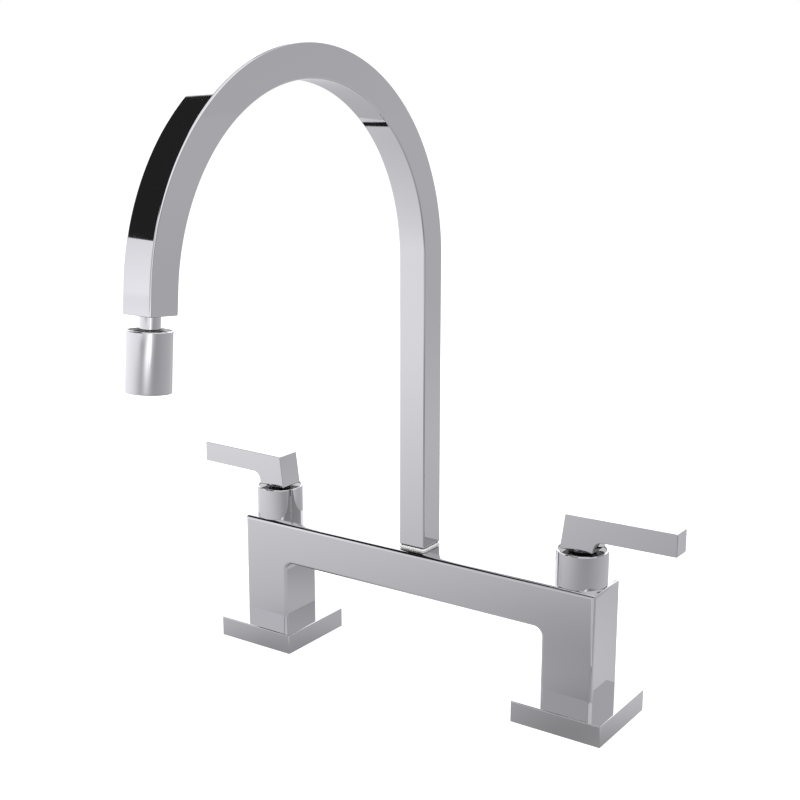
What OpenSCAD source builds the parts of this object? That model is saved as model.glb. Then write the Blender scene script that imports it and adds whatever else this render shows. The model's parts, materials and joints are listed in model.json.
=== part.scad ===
// Two handle kitchen faucet: a square bridge body on two legs, a square swivelling
// gooseneck, and two quarter-turn levers on ceramic disc valves.
// The origin is on the deck, midway between the two inlets. X runs along the bridge,
// the spout points to -Y, which is the front, and Z is up. Sizes are in millimetres.

/* [Bridge body] */
// Distance between the centres of the two inlets
inlet_pitch = 203.2; // [170:0.1:240]
// Width of a leg along the bridge
leg_w = 30.4; // [28.4:0.1:36]
// Depth of the legs and the beam, front to back
body_d = 29.9; // [28.4:0.1:36]
// Height of the body's top above the deck
body_top = 76.5; // [66:0.1:100]
// Height of the beam between the legs
beam_h = 24.8; // [21:0.1:30]
// Radius in the corner between a leg and the beam
corner_r = 5; // [1:0.5:8]
// Rounding of the body's outer edges
body_edge_r = 2.1; // [0.3:0.1:2.5]

/* [Inlets] */
// Radius of the inlet thread's wall, G 1/2 at its crests
inlet_thread_r = 9.32; // [8:0.01:10]
// Depth of the inlet thread
inlet_thread_l = 14; // [10:0.5:18]
// Radius of the inlet boss that stands on the deck
inlet_boss_r = 12.6; // [11.8:0.1:14]
// Radius of the water passages in the legs
leg_passage_r = 5; // [3:0.1:6]
// Radius of the water passage along the beam
beam_passage_r = 3.5; // [2.5:0.1:4]
// Metal under the beam's water passage
passage_floor = 5.8; // [3:0.1:7]

/* [Base plates] */
// Side of the square base plate
plate_w = 52.6; // [46:0.1:70]
// Height of the base plate
plate_h = 12; // [9:0.1:16]
// Wall of the base plate
plate_wall = 2.2; // [1.5:0.1:3]
// Rounding of the base plate's edges
plate_edge_r = 0.6; // [0.2:0.1:1.2]
// Width of the rubber gasket's rim under the base plate
gasket_rim = 5; // [3:0.5:7]
// Thickness of the rubber gasket
gasket_h = 3; // [1.5:0.5:4]

/* [Valves] */
// Radius of the valve pocket in the top of a leg
pocket_r = 10; // [9.6:0.1:10.4]
// Depth of the valve pocket
pocket_depth = 28; // [27:0.5:34]
// Radius of the bore inside the headwork
headwork_bore_r = 7.6; // [7.2:0.1:7.8]
// Wall of the headwork beside its bore
headwork_wall = 1.3; // [1:0.1:1.6]
// Length of the headwork's thread in the body
headwork_thread_l = 8; // [6:0.5:9]
// Size of the headwork's hexagon across its flats
hex_across = 20; // [19:0.5:20.5]
// Height of the hexagon
hex_h = 6; // [4:0.5:7]
// Length of the thread that holds the bonnet
bonnet_thread_l = 5; // [3:0.5:5.5]
// Radius of the gland that the spindle turns in
gland_r = 6.2; // [5.6:0.1:7]
// Thickness of the headwork's sealing washer
washer_h = 0.8; // [0.5:0.1:1.2]
// Height of the rubber seat seal
seat_seal_h = 2; // [1.5:0.1:3]
// Thickness of each ceramic disc
disc_h = 2.5; // [2:0.1:3]
// Radius of the hub in the middle of the ceramic discs
disc_hub_r = 1.6; // [1:0.1:2]
// Angle of each of the two windows in a ceramic disc
disc_window_angle = 80; // [60:1:85]
// Radius of the spindle in its gland
spindle_r = 4; // [3.6:0.1:4.4]
// Number of teeth on the spindle's spline
spline_teeth = 20; // [16:1:24]

/* [Bonnets] */
// Outer radius of the bonnet
bonnet_r = 13.9; // [13:0.1:14]
// Height of the bonnet
bonnet_h = 18.4; // [18:0.1:26]
// Wall of the bonnet at its rim
bonnet_wall = 1.1; // [0.8:0.1:1.2]
// Depth of the black glide ring below the bonnet's rim
glide_recess = 0.6; // [0.3:0.1:1]
// Thickness of the glide ring's top
glide_h = 1.2; // [0.8:0.1:1.5]

/* [Levers] */
// Gap between the bonnet's rim and the lever
lever_gap = 0.8; // [0.5:0.1:3]
// Height of the lever
lever_h = 18.9; // [17:0.1:26]
// Reach of the lever from its axis to its end
lever_reach = 54.3; // [40:0.1:80]
// Height of the lever's arm
arm_h = 12.1; // [9:0.1:12.5]
// Half the length of the post under the lever
post_half = 9.2; // [8.5:0.1:10.5]
// Distance that the post leans outward over its height
post_lean = 2.5; // [0:0.1:4]
// Width of the lever at its post
lever_w = 16.2; // [14.5:0.1:18]
// Width of the lever at its end
lever_end_w = 11.3; // [8:0.1:14]
// Radius of the round hub under the lever
lever_hub_r = 7.9; // [6:0.1:8]
// Radius under the arm where it meets the post
arm_corner_r = 5; // [1:0.5:5.5]
// Rounding of the lever's edges
lever_edge_r = 0.5; // [0.2:0.1:1]
// Depth of the spline socket in the lever
socket_depth = 11.5; // [9:0.5:13]
// Radius of the set screw in the back of the lever
set_screw_r = 2; // [1.5:0.1:2.5]

/* [Spout] */
// Width of the square spout tube, side to side
spout_w = 16.6; // [15:0.1:20]
// Depth of the spout tube, from its inner to its outer curve
spout_d = 16.8; // [15.5:0.1:20]
// Wall of the spout tube
spout_wall = 1.5; // [1:0.1:1.6]
// Rounding of the spout tube's long edges
spout_edge_r = 1; // [0.3:0.1:1.5]
// Height of the centre of the spout's arc above the deck
arc_centre_z = 239.5; // [160:0.5:320]
// Radius of the spout's arc at the tube's middle
arc_r = 101.8; // [60:0.1:140]
// Angle that the spout turns through
arc_angle = 174.8; // [150:0.1:180]
// Length of the straight end after the arc
tip_l = 11.5; // [11:0.5:30]
// Height of the square white collar that the spout stands on
foot_collar_h = 1; // [0.8:0.1:3]
// Height of the dark seam between the collar and the spout tube
foot_seam_h = 0.7; // [0.3:0.1:1]
// Radius of the spout's tail in the body
tail_r = 6; // [5.4:0.1:6.4]
// Radius of the water passage in the tail
tail_passage_r = 3.3; // [2.5:0.1:3.4]

/* [Outlet] */
// Radius of the neck between the spout and the barrel
neck_r = 4.65; // [4:0.05:4.8]
// Length of neck that shows between the spout and the barrel
neck_l = 6.2; // [6:0.1:10]
// Radius of the ball
ball_r = 6.7; // [6.2:0.1:6.8]
// Radius of the water passage in the ball and its neck
stud_passage_r = 2.4; // [1.5:0.1:2.5]
// Depth of the ball's centre below the barrel's rim
ball_depth = 7.5; // [7:0.1:8.5]
// Tilt of the barrel to each side
tilt_max = 15; // [5:1:16]
// Outer radius of the barrel
barrel_r = 10.1; // [9.6:0.1:11]
// Length of the barrel
barrel_l = 26.5; // [25:0.1:34]
// Wall of the barrel
barrel_wall = 1.1; // [0.8:0.1:1.2]
// Rounding of the barrel's edges
barrel_edge_r = 0.6; // [0.2:0.1:0.7]
// Depth of the screen inside the barrel's end
screen_recess = 0.9; // [0.5:0.1:2]
// Radius of each hole in the screen
screen_hole_r = 0.75; // [0.5:0.05:0.9]

/* [Hidden] */
$fn = 64;

// Clearance between pieces that are fixed together
fixed_gap = 0.05;
// Radial clearance between a shaft and the hole it turns in
running_gap = 0.05;
// Clearance between faces that pass each other
passing_gap = 0.15;
// Extra length of a cutter past the face that it opens
over = 1;
// Flat steps in the rounding of an edge, and of a larger corner
edge_steps = 6;
corner_steps = 12;
// Play left around an O-ring in its groove
ring_play = 0.02;
chrome = [0.78, 0.79, 0.81];
brass = [0.80, 0.66, 0.36];
black = [0.10, 0.10, 0.11];
ceramic = [0.93, 0.92, 0.88];

// Heights in the body
beam_bottom = body_top - beam_h;
passage_z = beam_bottom + passage_floor + beam_passage_r;
seat_z = body_top - pocket_depth;
corner_web = 9;

// Heights in a valve, from the seat up
fixed_disc_z = seat_z + seat_seal_h;
moving_disc_z = fixed_disc_z + disc_h + fixed_gap;
driver_z = moving_disc_z + disc_h;
driver_h = 2.6;
driver_key_w = 2.4;
driver_key_h = 1.2;
window_bottom_z = driver_z + driver_h / 2;
ceiling_z = body_top - 5.5;
collar_h = 2.2;
collar_r = headwork_bore_r - 1;
window_top_z = ceiling_z - collar_h - 1;
window_w = 7.5;
hex_z = body_top + washer_h;
bonnet_thread_z = hex_z + hex_h;
bonnet_thread_r = bonnet_r - bonnet_wall - 0.7;
collar_top_z = bonnet_thread_z + bonnet_thread_l;
rim_z = body_top + bonnet_h;
glide_top_z = rim_z - glide_recess;
clip_h = 0.8;
gland_top_z = glide_top_z - glide_h - clip_h - 2 * passing_gap;
clip_z = gland_top_z + passing_gap;
clip_r = 5.5;
o_ring_wire_r = 0.55;
groove_r = spindle_r - 2 * o_ring_wire_r;
groove_h = 1.7;
spindle_rings_z = [body_top + 2.5, body_top + 6.5];

// Heights in a lever
lever_z = rim_z + lever_gap;
arm_bottom_z = lever_z + lever_h - arm_h;
spline_r = spindle_r - 0.15;
spline_tooth = 0.35;
spline_top_z = lever_z + socket_depth - passing_gap;
set_screw_z = lever_z + 5;
set_screw_l = 3.4;
set_screw_key_r = 1.1;

// Sizes of the spout's foot and tail
foot_z = body_top + foot_collar_h + foot_seam_h;
seam_recess = 0.6;
tip_lap = 0.3;
tip_step = 0.02;
tube_inner_w = spout_w - 2 * spout_wall;
tube_inner_d = spout_d - 2 * spout_wall;
plug_h = 8;
tail_bottom_z = passage_z + beam_passage_r + 0.4;
socket_bottom_z = passage_z - beam_passage_r - 0.3;
tail_wire_r = 0.6;
tail_groove_r = tail_r - 2 * tail_wire_r;
tail_rings_z = [tail_bottom_z + 2.1, tail_bottom_z + 4.7];
lock_groove_h = 2.4;
lock_screw_r = 1.5;
lock_groove_depth = 1.2;
lock_z = body_top - 3.4;
lock_key_r = 0.9;

// Sizes along the outlet, measured down from the end of the spout tube
bush_l = 10.5;
stud_clip_z = bush_l + passing_gap;
stud_top_z = stud_clip_z + clip_h + 1;
stud_ring_z = bush_l / 2;
rim_drop = neck_l;
ball_drop = rim_drop + ball_depth;
barrel_bore_r = barrel_r - barrel_wall;
retainer_recess = 0.6;
retainer_top = rim_drop + retainer_recess;
retainer_lip = ball_drop - 3.1;
retainer_end = ball_drop - 0.6;
seat_top = ball_drop + 1.5;
seat_end = ball_drop + 4.5;
web_h = 1.5;
web_bore_r = ball_r - 1.4;
aerator_washer_h = 1.4;
aerator_top = seat_end + web_h + aerator_washer_h;
barrel_end = rim_drop + barrel_l;
screen_h = 1.6;
screen_top = barrel_end - screen_recess - screen_h;
screen_r = barrel_bore_r - 1.6;
screen_rings = 3;
screen_pitch = screen_r / (screen_rings + 0.6);

// Unit vector along v
function unit(v) = v / norm(v);

// Points of the arc of radius r that rounds the corner b between a and c
function rounded_corner(a, b, c, r, steps) =
    let (
        u = unit(a - b),
        v = unit(c - b),
        half = acos(u * v) / 2,
        centre = b + unit(u + v) * r / sin(half),
        from = b + u * r / tan(half) - centre,
        to = b + v * r / tan(half) - centre,
        start = atan2(from.y, from.x),
        turn = atan2(from.x * to.y - from.y * to.x, from * to))
    [for (k = [0:steps]) centre + r * [cos(start + turn * k / steps), sin(start + turn * k / steps)]];

// Outline through the points p, with each corner rounded by its own radius
function rounded_outline(p, r, steps) =
    let (n = len(p))
    [for (i = [0:n - 1]) each rounded_corner(p[(i + n - 1) % n], p[i], p[(i + 1) % n], r[i],
        r[i] > 3 ? corner_steps : steps)];

// Rectangle of size x by y about the origin, with rounded corners
module rounded_rectangle(x, y, r) {
    corners = [[-x / 2, -y / 2], [x / 2, -y / 2], [x / 2, y / 2], [-x / 2, y / 2]];
    polygon(rounded_outline(corners, [r, r, r, r], edge_steps));
}

// Block with every edge rounded, standing on z = 0
module rounded_block(x, y, z, r) {
    intersection() {
        linear_extrude(z)
            rounded_rectangle(x, y, r);
        translate([0, y / 2, z / 2])
            rotate([90, 0, 0])
                linear_extrude(y)
                    rounded_rectangle(x, z, r);
        translate([-x / 2, 0, z / 2])
            rotate([90, 0, 90])
                linear_extrude(x)
                    rounded_rectangle(y, z, r);
    }
}

// Ring between two radii, standing on z = 0
module ring(outer_r, inner_r, h) {
    difference() {
        cylinder(r = outer_r, h = h);
        translate([0, 0, -over])
            cylinder(r = inner_r, h = h + 2 * over);
    }
}

// O-ring of the given wire radius, its middle on z = 0
module o_ring(inner_r, wire_r) {
    rotate_extrude()
        translate([inner_r + wire_r, 0])
            circle(r = wire_r, $fn = 24);
}

// Puts a piece on the axis of one valve: side is -1 for the left and 1 for the right
module at_inlet(side) {
    translate([side * inlet_pitch / 2, 0, 0])
        children();
}

// Frame at the end of the spout tube: local +Z points down, out of the tube
module at_tip() {
    translate([0, -arc_r + arc_r * cos(arc_angle), arc_centre_z + arc_r * sin(arc_angle)])
        rotate([arc_angle, 0, 0])
            translate([0, 0, tip_l])
                children();
}

// Fillet between the beam and the right leg, its edges rounded as theirs are
module inner_corner() {
    translate([inlet_pitch / 2 - leg_w / 2 - corner_r, 0, beam_bottom - corner_r])
        rotate([90, 0, 0])
            rotate_extrude(angle = 90)
                translate([corner_r + corner_web / 2, 0])
                    rounded_rectangle(corner_web, body_d, body_edge_r);
}

// Leg that stands square on the base plate, its other edges rounded
module leg() {
    intersection() {
        translate([0, 0, plate_h - body_edge_r])
            rounded_block(leg_w, body_d, body_top - plate_h + body_edge_r, body_edge_r);
        translate([-leg_w, -body_d, plate_h])
            cube([2 * leg_w, 2 * body_d, body_top]);
    }
}

module bridge_body() {
    color(chrome)
        difference() {
            union() {
                translate([0, 0, beam_bottom])
                    rounded_block(inlet_pitch, body_d, beam_h, body_edge_r);
                for (side = [-1, 1])
                    on_side(side) {
                        leg();
                        cylinder(r = inlet_boss_r, h = plate_h + over);
                    }
                inner_corner();
                mirror([1, 0, 0])
                    inner_corner();
            }
            for (side = [-1, 1])
                at_inlet(side) {
                    translate([0, 0, -over])
                        cylinder(r = inlet_thread_r, h = inlet_thread_l + over);
                    cylinder(r = leg_passage_r, h = seat_z + over);
                    translate([0, 0, seat_z])
                        cylinder(r = pocket_r, h = pocket_depth + over);
                }
            translate([-inlet_pitch / 2, 0, passage_z])
                rotate([0, 90, 0])
                    cylinder(r = beam_passage_r, h = inlet_pitch);
            translate([0, 0, socket_bottom_z])
                cylinder(r = tail_r + running_gap, h = body_top - socket_bottom_z + over);
            translate([0, 0, lock_z])
                rotate([-90, 0, 0])
                    cylinder(r = lock_screw_r + fixed_gap, h = body_d);
        }
}

module base_plate() {
    color(chrome)
        difference() {
            rounded_block(plate_w, plate_w, plate_h, plate_edge_r);
            translate([-plate_w / 2 + plate_wall, -plate_w / 2 + plate_wall, -over])
                cube([plate_w - 2 * plate_wall, plate_w - 2 * plate_wall, plate_h - plate_wall + over]);
            cylinder(r = inlet_boss_r + fixed_gap, h = plate_h + over);
        }
}

// Square rubber ring inside the base plate's rim, flush with the deck
module plate_gasket() {
    outer = plate_w - 2 * plate_wall - 2 * fixed_gap;
    inner = outer - 2 * gasket_rim;
    color(black)
        difference() {
            translate([-outer / 2, -outer / 2, 0])
                cube([outer, outer, gasket_h]);
            translate([-inner / 2, -inner / 2, -over])
                cube([inner, inner, gasket_h + 2 * over]);
        }
}

// Sleeve over the headwork, held by a thread on a band inside it
module bonnet() {
    edge = 0.35;
    color(chrome)
        rotate_extrude($fn = 96)
            polygon([
                [bonnet_thread_r, bonnet_thread_z], [bonnet_r - bonnet_wall, bonnet_thread_z],
                [bonnet_r - bonnet_wall, body_top], [bonnet_r, body_top],
                [bonnet_r, rim_z - edge], [bonnet_r - edge / 3, rim_z - edge / 3],
                [bonnet_r - edge, rim_z], [bonnet_r - bonnet_wall, rim_z],
                [bonnet_r - bonnet_wall, collar_top_z], [bonnet_thread_r, collar_top_z]]);
}

// Plastic cap ring inside the bonnet's rim, standing on the bonnet's band
module glide_ring() {
    outer = bonnet_r - bonnet_wall - fixed_gap;
    skirt = 1;
    color(black)
        rotate_extrude()
            polygon([
                [outer - skirt, collar_top_z], [outer, collar_top_z], [outer, glide_top_z],
                [spindle_r + passing_gap, glide_top_z], [spindle_r + passing_gap, glide_top_z - glide_h],
                [outer - skirt, glide_top_z - glide_h]]);
}

module headwork() {
    outer_r = headwork_bore_r + headwork_wall;
    skirt_gap = 0.4;
    color(brass)
        difference() {
            union() {
                translate([0, 0, seat_z + skirt_gap])
                    cylinder(r = outer_r, h = body_top - seat_z - skirt_gap);
                translate([0, 0, body_top - headwork_thread_l])
                    cylinder(r = pocket_r - fixed_gap, h = headwork_thread_l + washer_h);
                translate([0, 0, hex_z])
                    cylinder(d = hex_across / cos(30), h = hex_h, $fn = 6);
                translate([0, 0, hex_z])
                    cylinder(r = pocket_r - fixed_gap, h = hex_h + bonnet_thread_l);
                translate([0, 0, bonnet_thread_z])
                    cylinder(r = bonnet_thread_r - fixed_gap, h = bonnet_thread_l);
                translate([0, 0, bonnet_thread_z])
                    cylinder(r = gland_r, h = gland_top_z - bonnet_thread_z);
            }
            translate([0, 0, seat_z])
                cylinder(r = headwork_bore_r, h = ceiling_z - seat_z);
            translate([0, 0, seat_z])
                cylinder(r = spindle_r + running_gap, h = gland_top_z - seat_z + over);
            for (turn = [0, 90])
                rotate([0, 0, turn])
                    translate([-outer_r - over, -window_w / 2, window_bottom_z])
                        cube([2 * outer_r + 2 * over, window_w, window_top_z - window_bottom_z]);
        }
}

module headwork_washer() {
    color("firebrick")
        translate([0, 0, body_top])
            ring(hex_across / 2 + 0.6, pocket_r, washer_h);
}

module seat_seal() {
    color(black)
        translate([0, 0, seat_z])
            ring(headwork_bore_r - fixed_gap, leg_passage_r + 0.4, seat_seal_h);
}

// Ceramic disc with two windows opposite each other
module ceramic_disc(radius, slot_h) {
    window_r = radius - 1.3;
    color(ceramic)
        difference() {
            cylinder(r = radius, h = disc_h);
            translate([0, 0, -over])
                linear_extrude(disc_h + 2 * over)
                    for (turn = [0, 180])
                        rotate(turn)
                            intersection() {
                                difference() {
                                    circle(r = window_r);
                                    circle(r = disc_hub_r);
                                }
                                polygon([
                                    [0, 0],
                                    2 * radius * [cos(disc_window_angle / 2), -sin(disc_window_angle / 2)],
                                    2 * radius * [cos(disc_window_angle / 2), sin(disc_window_angle / 2)]]);
                            }
            translate([-driver_key_w / 2, -radius - over, disc_h - slot_h])
                cube([driver_key_w, 2 * radius + 2 * over, slot_h + over]);
        }
}

module fixed_disc() {
    translate([0, 0, fixed_disc_z])
        ceramic_disc(headwork_bore_r - fixed_gap, 0);
}

// The closed valve has its moving disc a quarter turn from the fixed one
module moving_disc() {
    translate([0, 0, moving_disc_z])
        rotate([0, 0, 90])
            ceramic_disc(headwork_bore_r - 2 * running_gap, driver_key_h);
}

// Serrated round outline with its tips on the radius r
module spline_outline(r) {
    polygon([
        for (k = [0:2 * spline_teeth - 1])
            (k % 2 == 0 ? r : r - spline_tooth) * [cos(k * 180 / spline_teeth), sin(k * 180 / spline_teeth)]]);
}

module spindle() {
    driver_l = 2 * (headwork_bore_r - 0.6);
    driver_w = 4.4;
    spline_z = glide_top_z;
    color(brass)
        difference() {
            union() {
                translate([-driver_l / 2, -driver_w / 2, driver_z])
                    cube([driver_l, driver_w, driver_h]);
                translate([-driver_l / 2, -driver_key_w / 2 + fixed_gap, driver_z - driver_key_h + fixed_gap])
                    cube([driver_l, driver_key_w - 2 * fixed_gap, driver_key_h]);
                translate([0, 0, driver_z + driver_h / 2])
                    cylinder(r = spindle_r, h = spline_z - driver_z - driver_h / 2);
                translate([0, 0, ceiling_z - collar_h - passing_gap])
                    cylinder(r = collar_r, h = collar_h);
                translate([0, 0, spline_z - over])
                    linear_extrude(spline_top_z - spline_z + over)
                        spline_outline(spline_r);
            }
            for (z = spindle_rings_z)
                translate([0, 0, z - groove_h / 2])
                    ring(spindle_r + over, groove_r, groove_h);
            translate([0, 0, clip_z])
                ring(spindle_r + over, groove_r, clip_h + fixed_gap);
        }
}

module spindle_o_rings() {
    color(black)
        for (z = spindle_rings_z)
            translate([0, 0, z])
                o_ring(groove_r + ring_play, o_ring_wire_r - ring_play);
}

// Snap ring with an open side, lying on z = 0
module snap_ring(outer_r, inner_r) {
    opening = inner_r * 1.3;
    color("dimgray")
        difference() {
            ring(outer_r, inner_r, clip_h);
            translate([0, -opening / 2, -over])
                cube([outer_r + over, opening, clip_h + 2 * over]);
        }
}

module spindle_clip() {
    translate([0, 0, clip_z])
        snap_ring(clip_r, groove_r + fixed_gap);
}

// Side view of the lever: a leaning post with an arm that reaches out to +X
module lever_side() {
    e = lever_edge_r;
    lean_at_arm = post_lean * (lever_h - arm_h) / lever_h;
    polygon(rounded_outline(
        [[-post_half, lever_z], [post_half, lever_z], [post_half + lean_at_arm, arm_bottom_z],
            [lever_reach, arm_bottom_z], [lever_reach, lever_z + lever_h],
            [-post_half + post_lean, lever_z + lever_h]],
        [e, e, arm_corner_r, e, e, e], edge_steps));
}

// Lever that points to +X, with a hub and a splined socket on the Z axis
module lever() {
    hub_z = rim_z + passing_gap;
    plan = [
        [-post_half, -lever_w / 2], [lever_reach, -lever_end_w / 2],
        [lever_reach, lever_end_w / 2], [-post_half, lever_w / 2]];
    e = lever_edge_r;
    color(chrome)
        difference() {
            union() {
                intersection() {
                    translate([0, lever_w / 2 + over, 0])
                        rotate([90, 0, 0])
                            linear_extrude(lever_w + 2 * over)
                                lever_side();
                    translate([0, 0, lever_z - over])
                        linear_extrude(lever_h + 2 * over)
                            polygon(rounded_outline(plan, [e, e, e, e], edge_steps));
                }
                translate([0, 0, hub_z])
                    cylinder(r = lever_hub_r, h = lever_z - hub_z + over);
            }
            translate([0, 0, rim_z - over])
                linear_extrude(socket_depth + lever_gap + over)
                    spline_outline(spline_r + 2 * fixed_gap);
            translate([0, 0, set_screw_z])
                rotate([-90, 0, 0])
                    cylinder(r = set_screw_r + fixed_gap, h = lever_w);
        }
}

// Socket set screw along +Y, its tip at the origin
module socket_screw(r, l, key_r) {
    color("dimgray")
        rotate([-90, 0, 0])
            difference() {
                cylinder(r = r, h = l);
                translate([0, 0, l / 2])
                    cylinder(r = key_r, h = l, $fn = 6);
            }
}

module lever_screw() {
    translate([0, spline_r + fixed_gap, set_screw_z])
        socket_screw(set_screw_r, set_screw_l, set_screw_key_r);
}

// Mirrors a lever and what turns with it for the left side
module on_side(side) {
    at_inlet(side)
        mirror([side < 0 ? 1 : 0, 0, 0])
            children();
}

// Section of the spout tube, its wall made thicker by the given step on both faces
module tube_section(step) {
    difference() {
        rounded_rectangle(spout_d + 2 * step, spout_w + 2 * step, spout_edge_r);
        square([tube_inner_d - 2 * step, tube_inner_w - 2 * step], center = true);
    }
}

// The straight end laps over the arc's end by a step too small to see
module spout_tube() {
    color(chrome) {
        translate([0, 0, foot_z])
            rotate([0, 0, 90])
                linear_extrude(arc_centre_z - foot_z)
                    tube_section(0);
        translate([0, -arc_r, arc_centre_z])
            rotate([90, 0, 90]) {
                rotate_extrude(angle = arc_angle, $fn = 180)
                    translate([arc_r, 0])
                        tube_section(0);
                rotate([0, 0, arc_angle])
                    translate([arc_r, -tip_lap, 0])
                        rotate([-90, 0, 0])
                            linear_extrude(tip_l + tip_lap)
                                tube_section(tip_step);
            }
    }
}

// Square plate around the spout's tail, standing on z = 0
module tail_plate(x, y, h) {
    difference() {
        linear_extrude(h)
            rounded_rectangle(x, y, spout_edge_r);
        translate([0, 0, -over])
            cylinder(r = tail_r + fixed_gap, h = h + 2 * over);
    }
}

// Collar under the spout, which slides on the body's top as the spout turns
module spout_collar() {
    color("white")
        translate([0, 0, body_top + running_gap])
            tail_plate(spout_w, spout_d, foot_collar_h - running_gap);
}

// Thin washer, set back from the faces, that makes the dark seam
module spout_washer() {
    color(black)
        translate([0, 0, body_top + foot_collar_h])
            tail_plate(spout_w - 2 * seam_recess, spout_d - 2 * seam_recess, foot_seam_h);
}

// Screw in the back of the beam that stops the tail from lifting out
module spout_screw() {
    tip = tail_r - lock_groove_depth + passing_gap;
    translate([0, tip, lock_z])
        socket_screw(lock_screw_r, body_d / 2 - tip - 0.4, lock_key_r);
}

// Tail brazed into the spout's foot, round where it turns in the body
module spout_tail() {
    color(brass)
        difference() {
            union() {
                translate([0, 0, tail_bottom_z])
                    cylinder(r = tail_r, h = foot_z - tail_bottom_z);
                translate([-tube_inner_w / 2 + fixed_gap, -tube_inner_d / 2 + fixed_gap, foot_z])
                    cube([tube_inner_w - 2 * fixed_gap, tube_inner_d - 2 * fixed_gap, plug_h]);
            }
            translate([0, 0, tail_bottom_z - over])
                cylinder(r = tail_passage_r, h = foot_z + plug_h - tail_bottom_z + 2 * over);
            for (z = tail_rings_z)
                translate([0, 0, z - groove_h / 2])
                    ring(tail_r + over, tail_groove_r, groove_h);
            translate([0, 0, lock_z - lock_groove_h / 2 - lock_screw_r / 2])
                ring(tail_r + over, tail_r - lock_groove_depth, lock_groove_h + lock_screw_r);
        }
}

module spout_o_rings() {
    color(black)
        for (z = tail_rings_z)
            translate([0, 0, z])
                o_ring(tail_groove_r + ring_play, tail_wire_r - ring_play);
}

// Plug brazed into the end of the spout tube, with the hole that the neck turns in
module outlet_bush() {
    color(brass)
        at_tip()
            difference() {
                translate([-tube_inner_w / 2 + fixed_gap, -tube_inner_d / 2 + fixed_gap, -bush_l])
                    cube([tube_inner_w - 2 * fixed_gap, tube_inner_d - 2 * fixed_gap, bush_l]);
                translate([0, 0, -bush_l - over])
                    cylinder(r = neck_r + running_gap, h = bush_l + 2 * over);
            }
}

// Neck with a ball on its lower end and a water passage through both
module ball_stud() {
    clip_groove_r = neck_r - 1;
    color(chrome)
        at_tip()
            difference() {
                union() {
                    translate([0, 0, -stud_top_z])
                        cylinder(r = neck_r, h = stud_top_z + ball_drop);
                    translate([0, 0, ball_drop])
                        sphere(r = ball_r);
                }
                translate([0, 0, -stud_top_z - over])
                    cylinder(r = stud_passage_r, h = stud_top_z + ball_drop + ball_r + 2 * over);
                translate([0, 0, -stud_ring_z - groove_h / 2])
                    ring(neck_r + over, neck_r - 2 * o_ring_wire_r, groove_h);
                translate([0, 0, -stud_clip_z - clip_h - fixed_gap])
                    ring(neck_r + over, clip_groove_r, clip_h + fixed_gap);
            }
}

module stud_o_ring() {
    color(black)
        at_tip()
            translate([0, 0, -stud_ring_z])
                o_ring(neck_r - 2 * o_ring_wire_r + ring_play, o_ring_wire_r - ring_play);
}

module stud_clip() {
    at_tip()
        translate([0, 0, -stud_clip_z - clip_h])
            snap_ring(neck_r + 1.2, neck_r - 1 + fixed_gap);
}

module outlet_barrel() {
    e = barrel_edge_r;
    color(chrome)
        at_tip()
            rotate_extrude($fn = 96)
                polygon(concat(
                    [[barrel_bore_r, rim_drop], [barrel_r - e, rim_drop]],
                    [for (k = [1:edge_steps])
                        [barrel_r - e + e * sin(k * 90 / edge_steps),
                            rim_drop + e - e * cos(k * 90 / edge_steps)]],
                    [for (k = [0:edge_steps])
                        [barrel_r - e + e * cos(k * 90 / edge_steps),
                            barrel_end - e + e * sin(k * 90 / edge_steps)]],
                    [[barrel_bore_r, barrel_end], [barrel_bore_r, seat_end + web_h],
                        [web_bore_r, seat_end + web_h], [web_bore_r, seat_end],
                        [barrel_bore_r, seat_end]]));
}

// Ring screwed into the barrel over the ball, open enough for the neck to tilt
module ball_retainer() {
    neck_room = neck_r / cos(tilt_max) + passing_gap;
    outer = barrel_bore_r - fixed_gap;
    color(black)
        at_tip()
            difference() {
                translate([0, 0, retainer_top])
                    cylinder(r = outer, h = retainer_end - retainer_top);
                translate([0, 0, ball_drop])
                    sphere(r = ball_r + running_gap);
                rotate_extrude()
                    polygon([
                        [0, retainer_top - over],
                        [neck_room + (ball_drop - retainer_top + over) * tan(tilt_max), retainer_top - over],
                        [neck_room + (ball_drop - retainer_lip) * tan(tilt_max), retainer_lip],
                        [0, retainer_lip]]);
            }
}

// Rubber ring under the ball, shaped to it
module ball_seat() {
    color(black)
        at_tip()
            difference() {
                translate([0, 0, seat_top])
                    cylinder(r = barrel_bore_r - fixed_gap, h = seat_end - seat_top);
                translate([0, 0, ball_drop])
                    sphere(r = ball_r + running_gap);
            }
}

module aerator_washer() {
    color(black)
        at_tip()
            translate([0, 0, seat_end + web_h])
                ring(barrel_bore_r - fixed_gap, web_bore_r, aerator_washer_h);
}

// Plastic cup that holds the screen
module aerator_housing() {
    cup_floor = 1.6;
    color("whitesmoke")
        at_tip()
            difference() {
                translate([0, 0, aerator_top])
                    cylinder(r = barrel_bore_r - fixed_gap, h = barrel_end - screen_recess - aerator_top);
                translate([0, 0, aerator_top - over])
                    cylinder(r = web_bore_r - 1.4, h = cup_floor + 2 * over);
                translate([0, 0, aerator_top + cup_floor])
                    cylinder(r = screen_r, h = barrel_l);
            }
}

// Grid of round holes in rings of six, twelve and eighteen
module flow_screen() {
    color("lightgray")
        at_tip()
            difference() {
                translate([0, 0, screen_top])
                    cylinder(r = screen_r - fixed_gap, h = screen_h);
                translate([0, 0, screen_top - over])
                    cylinder(r = screen_hole_r, h = screen_h + 2 * over);
                for (row = [1:screen_rings])
                    for (k = [0:6 * row - 1])
                        rotate([0, 0, k * 60 / row])
                            translate([row * screen_pitch, 0, screen_top - over])
                                cylinder(r = screen_hole_r, h = screen_h + 2 * over, $fn = 16);
            }
}

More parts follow.
